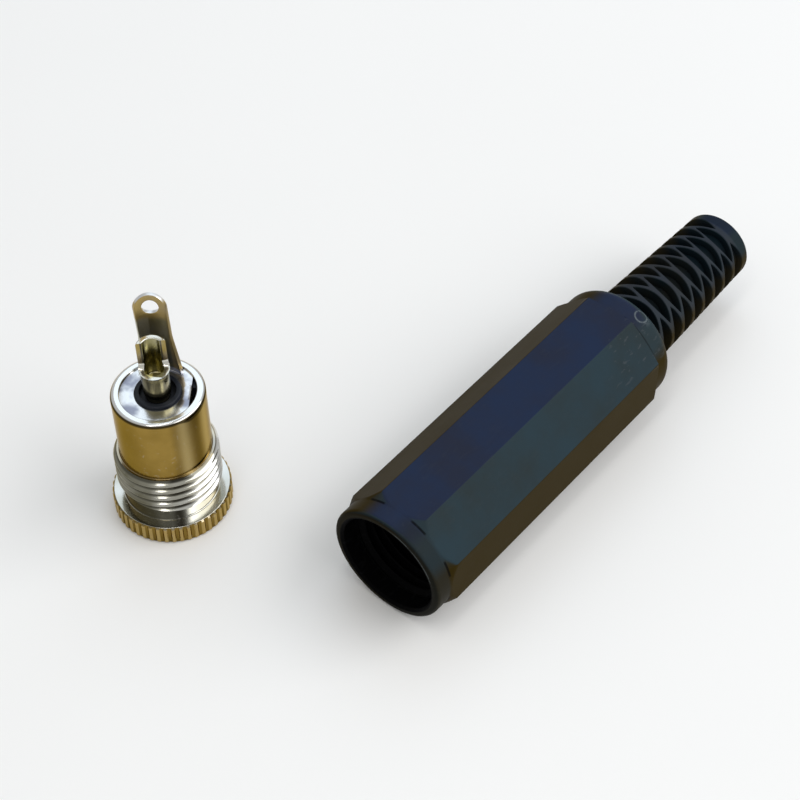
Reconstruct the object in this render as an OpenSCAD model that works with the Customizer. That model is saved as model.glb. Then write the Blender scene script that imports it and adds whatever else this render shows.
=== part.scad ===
// Inline DC barrel jack, unscrewed: the metal socket core stands on its flange,
// and its black cable shell with strain relief lies beside it.
// Millimetres. +Z is up, the shell's axis runs along +Y, the origin is at the
// middle of the whole at table height.

/* [Layout] */
// Sideways distance from the core's axis to the shell's axis
shell_offset_x = 19.3; // [11:0.1:40]
// How far ahead of the core's axis the shell's mouth lies
shell_offset_y = 2.6; // [-10:0.1:10]

/* [Flange] */
// Diameter of the knurled flange over its crests
flange_d = 9.15; // [8.8:0.05:11]
// Thickness of the flange
flange_h = 1.7; // [1:0.1:3]
// Number of flutes round the flange
flute_count = 48; // [24:4:52]
// Diameter of the round cutter that makes a flute
flute_d = 0.4; // [0.2:0.05:0.45]
// Depth of a flute
flute_depth = 0.13; // [0.05:0.01:0.15]
// Bevel on the flange's front and rear edges
flange_bevel = 0.15; // [0.05:0.01:0.2]

/* [Core body] */
// Height of the turned body, from the mating face to the crimped lip
body_h = 12.35; // [11.5:0.05:16]
// Diameter of the smooth barrel behind the thread
barrel_d = 7; // [6.9:0.02:7.1]
// Outside diameter of the M8 fine thread
thread_d = 8; // [7.8:0.05:8.1]
// Length of the thread
thread_l = 3.3; // [2:0.1:5]
// Bevel where the thread starts
thread_bevel = 0.3; // [0.1:0.05:0.4]
// Diameter of the relief neck between flange and thread
neck_d = 7.2; // [6.9:0.05:7.5]
// Length of the relief neck
neck_l = 1.4; // [0.5:0.1:2]
// Diameter of the mouth that guides the plug
mouth_d = 5.7; // [5.6:0.02:5.9]
// Length of the guiding mouth
mouth_l = 1.5; // [0.8:0.1:2.5]
// Bevel at the mouth's edge
mouth_bevel = 0.3; // [0.1:0.05:0.5]
// Diameter of the chamber behind the mouth
chamber_d = 6.1; // [6.05:0.01:6.2]
// Diameter of the seat that holds the insulator and the contact plate
seat_d = 6.4; // [6.3:0.01:6.5]
// Inside diameter of the crimped lip
lip_d = 5.7; // [5.5:0.02:5.9]
// Height of the crimped lip above the contact plate
lip_h = 0.15; // [0.1:0.01:0.3]
// Rounding of the lip's outer edge
lip_round = 0.3; // [0.1:0.02:0.4]

/* [Insulator] */
// Thickness of the insulator's disc
insulator_t = 2; // [1.8:0.1:3]
// Diameter of the boss round the pin
boss_d = 3.44; // [3.2:0.02:3.8]
// Height of the boss above the contact plate
boss_h = 0.4; // [0.2:0.05:0.8]
// Diameter of the dish in the boss
dish_d = 2.7; // [2.2:0.05:2.9]
// Depth of the dish in the boss
dish_depth = 0.25; // [0.1:0.05:0.4]

/* [Sleeve terminal] */
// Thickness of the sheet that the terminal is stamped from
sheet_t = 0.3; // [0.25:0.01:0.4]
// Distance from the axis to the fold of the spring arm
fold_offset = 2.41; // [2.3:0.01:2.5]
// Direction of the spring arm, seen from above
arm_angle = 37.5; // [0:0.5:60]
// Width of the spring arm
arm_w = 1.4; // [1:0.05:1.5]
// Thickness of the spring arm
arm_t = 0.25; // [0.2:0.01:0.28]
// Distance from the axis to the arm's contact bump
bump_offset = 2.45; // [2.4:0.01:2.6]
// Height of the contact bump above the mating face
bump_z = 4.4; // [4:0.1:6]
// Height over which the arm swings in from the chamber wall to its bump
arm_swing_l = 1.4; // [1:0.1:2]
// Height of the arm's free end above the mating face
arm_end_z = 2.8; // [2.2:0.1:3.2]
// How far the arm's free end stands off its straight length
arm_end_in = 0.1; // [0.05:0.05:0.3]
// Direction of the solder tab, seen from above
tab_angle = 127.5; // [110:0.5:150]
// Width of the solder tab
tab_w = 2.36; // [2:0.02:2.6]
// Width of the solder tab where it leaves the plate
tab_root_w = 3; // [2.7:0.05:3.2]
// Height of the tapered root of the tab
tab_root_h = 2.4; // [1:0.1:4]
// Height of the hole in the tab above the contact plate
tab_hole_z = 6.5; // [5:0.1:8]
// Diameter of the hole in the tab
tab_hole_d = 1.3; // [0.8:0.05:1.5]
// Radius of the gutter that the tab is formed to, on its outer face
tab_gutter_r = 2.6; // [2.5:0.01:2.65]
// Sideways lean of the tab in degrees
tab_lean = 1.5; // [0:0.5:3]

/* [Centre pin] */
// Diameter of the contact pin in the socket
pin_d = 2; // [1.9:0.02:2.1]
// Depth of the pin's tip behind the mating face
pin_recess = 1; // [0.5:0.1:2]
// Rounding of the pin's tip
tip_round = 0.8; // [0.3:0.05:0.9]
// Diameter of the pin's root, where it leaves the insulator
pin_root_d = 2.4; // [2.3:0.02:2.5]
// Diameter of the collar moulded into the insulator
collar_d = 2.9; // [2.7:0.05:3]
// Thickness of the collar
collar_t = 0.9; // [0.5:0.05:1]
// Diameter of the neck below the solder cup
pin_neck_d = 1.8; // [1.7:0.02:1.9]
// Height of the cone that joins the neck to the solder cup
cone_h = 0.2; // [0.1:0.05:0.5]
// Outside diameter of the solder cup
cup_d = 2.26; // [2.1:0.02:2.4]
// Bore of the solder cup
cup_bore_d = 1.55; // [1.4:0.01:1.6]
// Height of the cup's top above the contact plate
cup_top = 4.95; // [4:0.05:7]
// Height of the step in the cup's side above the contact plate
cup_step = 2.5; // [1.5:0.05:3]
// Depth of the cup's bore below the step
cup_floor = 0.7; // [0.3:0.05:1]
// Distance of the cup's open side behind the axis
cup_cut_offset = 0.35; // [0.1:0.01:0.4]
// Direction that the cup is open to, seen from above
cup_angle = -39; // [-90:1:0]

/* [Shell] */
// Length of the shell with its strain relief
shell_l = 42.9; // [42:0.1:60]
// Width across the octagon's flats
flats_w = 9.8; // [9.6:0.02:11]
// Difference in width between the flats and the round collars
collar_drop = 0.04; // [0.02:0.01:0.1]
// Length of the round collar at the mouth
front_collar_l = 1.45; // [0.8:0.05:3]
// Distance from the mouth to the octagon's rear end
flats_end = 27.05; // [26:0.05:30]
// Length of the round collar at the rear
rear_collar_l = 1; // [0.5:0.05:1.5]
// Radius of the domed shoulder
dome_r = 1.25; // [0.8:0.05:1.3]
// Rounding of the mouth's outer edge
rim_round = 0.35; // [0.1:0.05:0.5]
// Inside diameter of the mouth ahead of the thread
counterbore_d = 8.2; // [8.14:0.02:8.4]
// Depth of the mouth ahead of the thread
counterbore_l = 1.5; // [1.4:0.05:3]
// Bevel at the mouth's inner edge
rim_bevel = 0.2; // [0.05:0.05:0.3]
// Inside diameter of the shell's thread
shell_thread_d = 7.2; // [7.16:0.02:7.5]
// Length of the shell's thread
shell_thread_l = 5; // [3:0.1:8]
// Cavity diameter at its rear end, where the mould's draft ends
cavity_end_d = 6.6; // [6:0.05:6.8]
// Distance from the mouth to the cavity's rear end
cavity_end = 26; // [22:0.1:26.5]

/* [Strain relief] */
// Outside diameter of the strain relief at its root
tail_root_d = 6.8; // [6.4:0.05:7]
// Outside diameter of the strain relief at its end
tail_end_d = 5.88; // [5.7:0.02:6.2]
// Diameter of the cable hole
cable_d = 4.4; // [4:0.05:4.6]
// Length of the funnel between cavity and cable hole
funnel_l = 1.6; // [1:0.1:2.5]
// Wall left under the pockets
liner_t = 0.22; // [0.15:0.01:0.3]
// Distance between pockets along a column
pocket_pitch = 1.52; // [1.4:0.01:1.8]
// Length of a pocket round the tail, tip to tip
pocket_l = 4.2; // [3.4:0.05:4.4]
// Width of a pocket at its middle
pocket_w = 1.04; // [0.8:0.02:1.1]
// Distance from the tail's root to the middle of the first full pocket
pocket_start = 2.23; // [1.8:0.01:3]
// Plain length left at the tail's end
end_ring_l = 0.88; // [0.6:0.02:2]
// Rounding of the tail's end
end_round = 0.3; // [0.1:0.02:0.4]
// Number of columns of pockets
column_count = 6; // [4:2:6]
// Direction of the first column, measured from the top
column_angle = 22.5; // [0:0.5:45]

/* [Hidden] */
$fn = 96;
// Overshoot of a cutter past the face that it opens
cut = 1;
// Radial play between parts that are pressed or moulded together
press_gap = 0.02;
// Side play of the spring arm in its slot
slot_gap = 0.05;
// Radius that the tab's prism reaches, past every part of the core
reach = flange_d;

thread_z = flange_h + neck_l;
thread_end = thread_z + thread_l;
plate_top = body_h - lip_h;
plate_z = plate_top - sheet_t;
seat_z = plate_z - insulator_t;
boss_top = plate_top + boss_h;
collar_z = seat_z + (insulator_t - collar_t) / 2;
cup_z = plate_top + cup_step;
neck_end = cup_z - cone_h;
plate_d = seat_d - 2 * press_gap;
// The arm's straight length touches the chamber with neither face nor edge
arm_offset = sqrt(pow(chamber_d / 2 - press_gap, 2) - pow(arm_w / 2, 2)) - arm_t / 2;
tab_inner_r = tab_gutter_r - sheet_t;

axis_h = flats_w / 2;
collar_r = (flats_w - collar_drop) / 2;
rear_collar_end = flats_end + rear_collar_l;
tail_z = rear_collar_end + dome_r;
tail_l = shell_l - tail_z;
thread_stop = counterbore_l + shell_thread_l;

// The middle of the whole, seen from above, is the origin
middle_x = (shell_offset_x + flats_w / 2 - flange_d / 2) / 2;
middle_y = (max(shell_offset_y + shell_l, flange_d / 2) + min(shell_offset_y, -flange_d / 2)) / 2;

// Puts a part of the core, drawn round its own axis, in its place
module core_place() {
    translate([-middle_x, -middle_y, 0]) children();
}

// Lays the shell down: its axis is drawn along +Z with the mouth at zero
module shell_place() {
    translate([shell_offset_x - middle_x, shell_offset_y - middle_y, axis_h])
        rotate([-90, 0, 0])
            children();
}

// Cylinder between two heights, or a cone if the second radius is given
module bar(r, z0, z1, r_top = undef) {
    translate([0, 0, z0])
        cylinder(r1 = r, r2 = is_undef(r_top) ? r : r_top, h = z1 - z0);
}

// Solid of revolution with its top outer edge rounded
module rounded_bar(r, z0, z1, round) {
    rotate_extrude() {
        translate([0, z0]) square([r, z1 - z0 - round]);
        translate([0, z0]) square([r - round, z1 - z0]);
        translate([r - round, z1 - round]) intersection() {
            circle(round);
            square(round);
        }
    }
}

// Flange with bevelled edges and straight flutes
module flange() {
    difference() {
        union() {
            bar(flange_d / 2 - flange_bevel, 0, flange_bevel, flange_d / 2);
            bar(flange_d / 2, flange_bevel, flange_h - flange_bevel);
            bar(flange_d / 2, flange_h - flange_bevel, flange_h, flange_d / 2 - flange_bevel);
        }
        for (i = [0 : flute_count - 1])
            rotate(360 / flute_count * (i + 0.5))
                translate([(flange_d + flute_d) / 2 - flute_depth, 0, -cut])
                    cylinder(d = flute_d, h = flange_h + 2 * cut, $fn = 24);
    }
}

// Turned brass body: flange, neck, thread, barrel, and a lip crimped over the plate
module socket_body() {
    color("goldenrod") core_place() difference() {
        union() {
            flange();
            bar(neck_d / 2, flange_h, thread_z);
            bar(thread_d / 2, thread_z, thread_end - thread_bevel);
            bar(thread_d / 2, thread_end - thread_bevel, thread_end, thread_d / 2 - thread_bevel);
            rounded_bar(barrel_d / 2, thread_z, body_h, lip_round);
        }
        bar(mouth_d / 2 + mouth_bevel + cut, -cut, mouth_bevel, mouth_d / 2);
        bar(mouth_d / 2, -cut, mouth_l + cut);
        bar(chamber_d / 2, mouth_l, seat_z + cut);
        bar(seat_d / 2, seat_z, plate_top);
        bar(lip_d / 2, plate_top - cut, body_h + cut);
    }
}

// Black moulding that carries the pin in the body's rear end
module socket_insulator() {
    color("#1c1d20") core_place() difference() {
        union() {
            bar(plate_d / 2, seat_z, plate_z);
            bar(boss_d / 2, seat_z, boss_top);
        }
        bar(pin_root_d / 2 + press_gap, seat_z - cut, collar_z + cut);
        bar(collar_d / 2 + press_gap, collar_z, collar_z + collar_t);
        bar(pin_neck_d / 2 + press_gap, collar_z, boss_top + cut);
        bar(dish_d / 2, boss_top - dish_depth, boss_top + cut);
        arm_slot();
    }
}

// Slot that lets the spring arm pass from the plate's fold to the chamber wall
module arm_slot() {
    slot_w = arm_w + 2 * slot_gap;
    slot_floor = fold_offset - sheet_t - slot_gap;
    rotate(arm_angle)
        translate([slot_floor, -slot_w / 2, seat_z - cut])
            cube([seat_d, slot_w, insulator_t + 2 * cut]);
}

// Sheet strip of even thickness along a line of points, with round bends
module strip(points, t) {
    for (i = [0 : len(points) - 2]) {
        run = points[i + 1] - points[i];
        translate(points[i]) rotate(atan2(run[1], run[0]))
            translate([0, -t / 2]) square([norm(run), t]);
    }
    for (p = points)
        translate(p) circle(d = t, $fn = 24);
}

// Spring arm that presses on the plug's sleeve, folded down from the plate
module spring_arm() {
    points = [
        [fold_offset - arm_t / 2, plate_z + arm_t / 2],
        [arm_offset, seat_z - arm_t],
        [arm_offset, bump_z + arm_swing_l],
        [bump_offset + arm_t / 2, bump_z],
        [arm_offset - arm_end_in, arm_end_z],
    ];
    rotate(arm_angle)
        translate([0, arm_w / 2, 0]) rotate([90, 0, 0])
            linear_extrude(arm_w) strip(points, arm_t);
}

// Outline of the solder tab, flat, with its hole; drawn upward from the plate
module tab_outline() {
    difference() {
        union() {
            polygon([
                [-tab_root_w / 2, 0], [tab_root_w / 2, 0],
                [tab_w / 2, tab_root_h], [-tab_w / 2, tab_root_h],
            ]);
            translate([-tab_w / 2, tab_root_h]) square([tab_w, tab_hole_z - tab_root_h]);
            translate([0, tab_hole_z]) circle(d = tab_w);
        }
        translate([0, tab_hole_z]) circle(d = tab_hole_d);
    }
}

// Solder tab: the outline cut from a gutter that runs round the core's axis
module solder_tab() {
    tab_top = tab_hole_z + tab_w;
    intersection() {
        difference() {
            bar(tab_gutter_r, plate_z, plate_top + tab_top);
            bar(tab_inner_r, plate_z - cut, plate_top + tab_top + cut);
        }
        translate([0, 0, plate_top]) rotate(tab_angle - 90)
            rotate([-90, 0, 0]) rotate(180 - tab_lean)
                translate([0, -sheet_t, 0]) linear_extrude(reach) union() {
                    translate([0, sheet_t]) tab_outline();
                    translate([-tab_root_w / 2, 0]) square([tab_root_w, sheet_t]);
                }
    }
}

// Contact plate with its hole, the chord of the arm's fold and the tab's notch
module contact_plate() {
    difference() {
        bar(plate_d / 2, plate_z, plate_top);
        bar(boss_d / 2 + press_gap, plate_z - cut, plate_top + cut);
        rotate(arm_angle)
            translate([fold_offset, -reach, plate_z - cut])
                cube([reach, 2 * reach, sheet_t + 2 * cut]);
        rotate(tab_angle) difference() {
            translate([0, -tab_root_w / 2, plate_z - cut])
                cube([reach, tab_root_w, sheet_t + 2 * cut]);
            bar(tab_gutter_r - sheet_t / 2, plate_z - 2 * cut, plate_top + 2 * cut);
        }
    }
}

// One stamping of plated brass: contact plate, spring arm and solder tab
module sleeve_terminal() {
    color("silver") core_place() union() {
        contact_plate();
        spring_arm();
        solder_tab();
    }
}

// Turned pin: contact, collar, neck and a solder cup cut open on one side
module centre_pin() {
    color("lightgray") core_place() rotate(cup_angle) difference() {
        union() {
            translate([0, 0, pin_recess + seat_z]) mirror([0, 0, 1])
                rounded_bar(pin_d / 2, 0, seat_z, tip_round);
            bar(pin_root_d / 2, seat_z, collar_z);
            bar(collar_d / 2, collar_z, collar_z + collar_t);
            bar(pin_neck_d / 2, collar_z, neck_end);
            bar(pin_neck_d / 2, neck_end, cup_z, cup_d / 2);
            bar(cup_d / 2, cup_z, plate_top + cup_top);
        }
        bar(cup_bore_d / 2, cup_z - cup_floor, plate_top + cup_top + cut);
        translate([-cup_cut_offset, -cup_d, cup_z])
            cube([2 * cup_d, 2 * cup_d, cup_top + cut]);
    }
}

// Biconvex outline of a pocket, long along y
module lens() {
    half_l = pocket_l / 2;
    half_w = pocket_w / 2;
    arc_r = (half_l * half_l + half_w * half_w) / (2 * half_w);
    intersection() {
        translate([arc_r - half_w, 0]) circle(arc_r);
        translate([half_w - arc_r, 0]) circle(arc_r);
    }
}

// Staggered columns of pockets round the tail, cut radially from outside
module pockets() {
    for (column = [0 : column_count - 1]) {
        start = pocket_start - (column % 2) * pocket_pitch / 2;
        room = tail_l - end_ring_l - pocket_w / 2 - start;
        for (i = [0 : floor(room / pocket_pitch)])
            rotate(column_angle - 90 + column * 360 / column_count)
                translate([0, 0, tail_z + start + i * pocket_pitch]) rotate([0, 90, 0])
                    linear_extrude(tail_root_d) lens();
    }
}

// Tapered strain relief with a thin liner behind its pockets
module strain_relief() {
    straight_end = shell_l - end_round;
    end_r = tail_end_d / 2 + (tail_root_d - tail_end_d) / 2 * end_round / tail_l;
    difference() {
        union() {
            bar(tail_root_d / 2, tail_z, straight_end, end_r);
            rounded_bar(end_r, straight_end - cut, shell_l, end_round);
        }
        pockets();
    }
    bar(cable_d / 2 + liner_t, tail_z, straight_end);
}

// Octagonal grip between two round collars, with a domed shoulder
module grip() {
    mirror([0, 0, 1]) translate([0, 0, -front_collar_l])
        rounded_bar(collar_r, 0, front_collar_l, rim_round);
    translate([0, 0, front_collar_l]) rotate(180 / 8)
        cylinder(r = axis_h / cos(180 / 8), h = flats_end - front_collar_l, $fn = 8);
    rounded_bar(collar_r, flats_end, tail_z, dome_r);
}

// One black moulding: grip, shoulder and strain relief, bored from the mouth
module backshell() {
    funnel_end = cavity_end + funnel_l;
    color("#1b2230") shell_place() difference() {
        union() {
            grip();
            strain_relief();
        }
        bar(counterbore_d / 2 + rim_bevel + cut, -cut, rim_bevel, counterbore_d / 2);
        bar(counterbore_d / 2, -cut, counterbore_l);
        bar(shell_thread_d / 2, counterbore_l - cut, thread_stop);
        bar(shell_thread_d / 2, thread_stop, cavity_end, cavity_end_d / 2);
        bar(cavity_end_d / 2, cavity_end, funnel_end, cable_d / 2);
        bar(cable_d / 2, funnel_end - cut, shell_l + cut);
    }
}

socket_body();
socket_insulator();
sleeve_terminal();
centre_pin();
backshell();
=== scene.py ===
# A DC power jack for the end of a cable, unscrewed. The metal socket core stands
# on its flange, and its black cable shell with strain relief lies beside it.
# Metres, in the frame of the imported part.
import math

import bmesh
import bpy
from mathutils import Matrix, Vector


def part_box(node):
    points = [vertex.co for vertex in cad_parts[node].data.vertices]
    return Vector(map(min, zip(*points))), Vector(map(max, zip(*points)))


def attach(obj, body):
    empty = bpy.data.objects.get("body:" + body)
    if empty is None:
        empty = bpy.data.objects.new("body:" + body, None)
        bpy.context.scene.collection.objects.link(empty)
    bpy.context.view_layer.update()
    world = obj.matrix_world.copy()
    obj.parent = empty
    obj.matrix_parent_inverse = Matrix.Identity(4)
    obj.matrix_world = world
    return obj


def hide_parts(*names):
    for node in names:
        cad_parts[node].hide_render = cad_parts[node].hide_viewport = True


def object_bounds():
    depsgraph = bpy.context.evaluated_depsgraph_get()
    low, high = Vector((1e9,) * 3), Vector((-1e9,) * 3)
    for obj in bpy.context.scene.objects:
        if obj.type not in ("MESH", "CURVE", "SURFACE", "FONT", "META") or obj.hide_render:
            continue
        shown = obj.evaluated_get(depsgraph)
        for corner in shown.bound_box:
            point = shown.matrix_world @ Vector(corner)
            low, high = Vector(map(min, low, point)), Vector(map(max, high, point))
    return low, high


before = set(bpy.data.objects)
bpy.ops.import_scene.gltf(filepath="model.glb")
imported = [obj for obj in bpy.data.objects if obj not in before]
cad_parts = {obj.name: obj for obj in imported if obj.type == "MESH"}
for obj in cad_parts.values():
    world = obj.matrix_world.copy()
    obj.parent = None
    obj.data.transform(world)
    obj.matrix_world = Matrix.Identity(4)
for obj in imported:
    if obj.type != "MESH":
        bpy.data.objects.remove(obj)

cad_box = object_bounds()
mm = 0.001


# ---------------------------------------------------------------- socket body
# A brass part turned on a lathe and nickel plated. It has a fluted flange to grip,
# a fine thread for the shell, a smooth barrel, and a lip crimped in over the
# contact plate. The plug enters from below, through the flange.

body_low, body_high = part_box("socket_body")
core_axis = Vector(((body_low.x + body_high.x) / 2, (body_low.y + body_high.y) / 2, 0))
flange_r = (body_high.x - body_low.x) / 2
lip_z = body_high.z

flange_h = 1.7 * mm
flange_bevel = 0.15 * mm
flute_count = 48
flute_cutter_r = 0.2 * mm
flute_depth = 0.13 * mm
flute_land = math.radians(2.8)
neck_r = 3.6 * mm
thread_r = 4.0 * mm
thread_depth = thread_r - neck_r
thread_pitch = 0.75 * mm
thread_start = 3.1 * mm
thread_end = 6.4 * mm
thread_bevel = 0.3 * mm
thread_crest = 1 / 8
thread_root = 1 / 4
rows_per_turn = 12
barrel_r = 3.5 * mm
lip_round = 0.3 * mm
lip_r = 2.85 * mm
lip_h = 0.15 * mm
seat_r = 3.2 * mm
seat_z = 9.9 * mm
chamber_r = 3.05 * mm
mouth_r = 2.85 * mm
mouth_l = 1.5 * mm
mouth_bevel = 0.3 * mm
edge_r = 0.05 * mm


class Wire:
    """A node's output. Sums on it add Math nodes, and node() adds any other node."""

    def __init__(self, tree, socket=None):
        self.tree = tree
        self.socket = socket

    def node(self, kind, settings=None, sockets=None, out=0):
        made = self.tree.nodes.new(kind)
        for name, value in (settings or {}).items():
            setattr(made, name, value)
        for name, value in (sockets or {}).items():
            if isinstance(value, Wire):
                self.tree.links.new(value.socket, made.inputs[name])
            else:
                made.inputs[name].default_value = value
        return Wire(self.tree, made.outputs[out]) if len(made.outputs) else None

    def __getitem__(self, name):
        return Wire(self.tree, self.socket.node.outputs[name])

    def math(self, operation, *values):
        return self.node("ShaderNodeMath", {"operation": operation}, dict(enumerate(values)))

    def __add__(self, other):
        return self.math("ADD", self, other)

    def __radd__(self, other):
        return self.math("ADD", other, self)

    def __sub__(self, other):
        return self.math("SUBTRACT", self, other)

    def __rsub__(self, other):
        return self.math("SUBTRACT", other, self)

    def __mul__(self, other):
        return self.math("MULTIPLY", self, other)

    def __rmul__(self, other):
        return self.math("MULTIPLY", other, self)

    def __truediv__(self, other):
        return self.math("DIVIDE", self, other)

    def __rtruediv__(self, other):
        return self.math("DIVIDE", other, self)

    def __abs__(self):
        return self.math("ABSOLUTE", self)

    def low(self, other):
        return self.math("MINIMUM", self, other)

    def high(self, other):
        return self.math("MAXIMUM", self, other)

    def rise(self, start, end):
        """0 before start and 1 past end, with a smooth step. It falls if end comes first."""
        settings = {"interpolation_type": "SMOOTHSTEP", "clamp": True}
        if start <= end:
            return self.node("ShaderNodeMapRange", settings, {0: self, 1: start, 2: end})
        return 1 - self.node("ShaderNodeMapRange", settings, {0: self, 1: end, 2: start})

    def band(self, start, full, still_full, end):
        """1 from full to still_full, and 0 before start and past end."""
        return self.rise(start, full) * self.rise(end, still_full)

    def blend(self, first, second):
        """The first colour where this mask is 0 and the second where it is 1."""
        colours = [v if isinstance(v, Wire) else (*v, 1) for v in (first, second)]
        sockets = {0: self, 6: colours[0], 7: colours[1]}
        return self.node("ShaderNodeMix", {"data_type": "RGBA"}, sockets, 2)

    def noise(self, where, scale, detail=2, roughness=0.5):
        sockets = {"Vector": where, "Scale": scale, "Detail": detail, "Roughness": roughness}
        return self.node("ShaderNodeTexNoise", {}, sockets)

    def lines(self, scale):
        """The fine lines that a lathe's tool leaves, across this coordinate."""
        sockets = {"W": self, "Scale": scale, "Detail": 3}
        return self.node("ShaderNodeTexNoise", {"noise_dimensions": "1D"}, sockets)


def soft_outline(corners, steps=4, support=0.03 * mm):
    """Rounds every corner (x, y, radius) but the first and last, which only give directions.

    A point is kept just off both ends of each arc, so that the flats beside it stay flat."""
    points = []
    for before, here, after in zip(corners, corners[1:], corners[2:]):
        corner = Vector(here[:2])
        if not here[2]:
            points.append(corner)
            continue
        back = (Vector(before[:2]) - corner).normalized()
        on = (Vector(after[:2]) - corner).normalized()
        half = back.angle(on) / 2
        reach = here[2] / math.tan(half)
        centre = corner + (back + on).normalized() * here[2] / math.sin(half)
        first = corner + back * reach - centre
        turn = first.angle_signed(corner + on * reach - centre)
        points.append(corner + back * (reach + support))
        for i in range(steps + 1):
            points.append(centre + Matrix.Rotation(-turn * i / steps, 2) @ first)
        points.append(corner + on * (reach + support))
    return [(p.x, p.y, {}) for p in points]


def thread_rows(radius, start, end):
    """Rows of a turned mesh that run along the thread's turns, one turn past both its ends."""
    pitches = (end - start) / thread_pitch
    count = math.ceil((pitches + 1) * rows_per_turn)
    rows = []
    for i in range(count + 1):
        marks = {"threaded": 1, "turn": i / rows_per_turn - 1}
        rows.append((radius, start + (end - start) * i / count, marks))
    return rows


def turned_mesh(name, rows, angles):
    """A closed outline swept about +Z through a full turn of angles, with its seam left open.

    A row is (radius, height, marks). The radius may depend on the angle, and each mark becomes
    an attribute that the node trees read, as does each point's angle."""
    points = []
    for angle in angles:
        for radius, height, _ in rows:
            r = radius(angle) if callable(radius) else radius
            points.append((r * math.cos(angle), r * math.sin(angle), height))
    n = len(rows)
    faces = []
    for i in range(len(angles) - 1):
        for j in range(n):
            k = (j + 1) % n
            faces.append((i * n + j, (i + 1) * n + j, (i + 1) * n + k, i * n + k))
    mesh = bpy.data.meshes.new(name)
    mesh.from_pydata(points, [], faces)
    values = {"angle": [angle for angle in angles for _ in rows]}
    for mark in {mark for _, _, marks in rows for mark in marks}:
        values[mark] = [row[2].get(mark, 0) for row in rows] * len(angles)
    for mark, numbers in values.items():
        mesh.attributes.new(mark, "FLOAT", "POINT").data.foreach_set("value", numbers)
    return mesh


def new_tree(name, sizes):
    """An empty geometry tree with a named input for each size, and its group input."""
    tree = bpy.data.node_groups.new(name, "GeometryNodeTree")
    tree.interface.new_socket("Geometry", in_out="INPUT", socket_type="NodeSocketGeometry")
    tree.interface.new_socket("Material", in_out="INPUT", socket_type="NodeSocketMaterial")
    for size in sizes:
        tree.interface.new_socket(size, in_out="INPUT", socket_type="NodeSocketFloat")
    tree.interface.new_socket("Geometry", in_out="OUTPUT", socket_type="NodeSocketGeometry")
    return Wire(tree).node("NodeGroupInput")


def mark_of(given, name):
    """A mark of the turned mesh, as a field."""
    kind = "GeometryNodeInputNamedAttribute"
    return given.node(kind, {"data_type": "FLOAT"}, {"Name": name}, "Attribute")


def move_points(given, geometry, radius, height, chosen):
    """Moves the chosen points to a new radius and height, at the angle that they have."""
    angle = mark_of(given, "angle")
    sockets = {
        "X": radius * angle.math("COSINE", angle),
        "Y": radius * angle.math("SINE", angle),
        "Z": height,
    }
    place = given.node("ShaderNodeCombineXYZ", {}, sockets)
    sockets = {"Geometry": geometry, "Selection": chosen, "Position": place}
    return given.node("GeometryNodeSetPosition", {}, sockets)


def end_tree(given, geometry):
    """The nodes that every tree ends with."""
    real = given.node("GeometryNodeRealizeInstances", {}, {"Geometry": geometry})
    sockets = {"Geometry": real, "Material": given["Material"]}
    painted = given.node("GeometryNodeSetMaterial", {}, sockets)
    given.node("NodeGroupOutput", {}, {0: painted})


def split(vector):
    """The three parts of a vector."""
    parts = vector.node("ShaderNodeSeparateXYZ", {}, {0: vector})
    return parts["X"], parts["Y"], parts["Z"]


def flute_tree():
    """Straight flutes: no point of the flange stays inside the round cutters."""
    given = new_tree("flutes", ["Count", "Cutter radius", "Cutter place", "Height"])
    x, y, z = split(given.node("GeometryNodeInputPosition"))
    radius = (x * x + y * y).math("SQRT", x * x + y * y)
    share = mark_of(given, "angle") * given["Count"] / math.tau
    off = (share.math("FRACT", share) - 0.5) * math.tau / given["Count"]
    side = given["Cutter place"] * off.math("SINE", off)
    inside = given["Cutter radius"] * given["Cutter radius"] - side * side
    half = inside.math("SQRT", inside.high(0))
    cutter = given["Cutter place"] * off.math("COSINE", off) - half
    clear = inside.math("LESS_THAN", inside, 0)
    fluted = radius.low(cutter + clear)
    chosen = z.math("LESS_THAN", z, given["Height"])
    end_tree(given, move_points(given, given["Geometry"], fluted, z, chosen))
    return given.tree


def thread_tree():
    """A screw thread with flat crests and roots, cut 45 degrees back where it ends."""
    sizes = ["Start", "End", "Pitch", "Crest radius", "Depth", "Bevel", "Crest", "Root"]
    given = new_tree("screw_thread", sizes)
    turn = mark_of(given, "angle") / math.tau
    height = given["Start"] + given["Pitch"] * (mark_of(given, "turn") + turn)
    height = height.high(given["Start"]).low(given["End"])
    phase = (height - given["Start"]) / given["Pitch"] - turn
    off = abs(phase.math("FRACT", phase) - 0.5)
    flank = (1 - given["Crest"] - given["Root"]) / 2
    groove = ((1 - given["Crest"]) / 2 - off) / flank
    radius = given["Crest radius"] - given["Depth"] * groove.high(0).low(1)
    radius = radius.low(given["Crest radius"] - given["Bevel"] + given["End"] - height)
    chosen = mark_of(given, "threaded")
    end_tree(given, move_points(given, given["Geometry"], radius, height, chosen))
    return given.tree


def add_object(name, data):
    made = bpy.data.objects.new(name, data)
    bpy.context.scene.collection.objects.link(made)
    return made


def thread_sizes(start, end, crest_r, depth, bevel):
    """Values of the thread tree's inputs; a nut's thread has a depth below 0."""
    return {
        "Start": start,
        "End": end,
        "Pitch": thread_pitch,
        "Crest radius": crest_r,
        "Depth": depth,
        "Bevel": bevel,
        "Crest": thread_crest,
        "Root": thread_root,
    }


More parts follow.
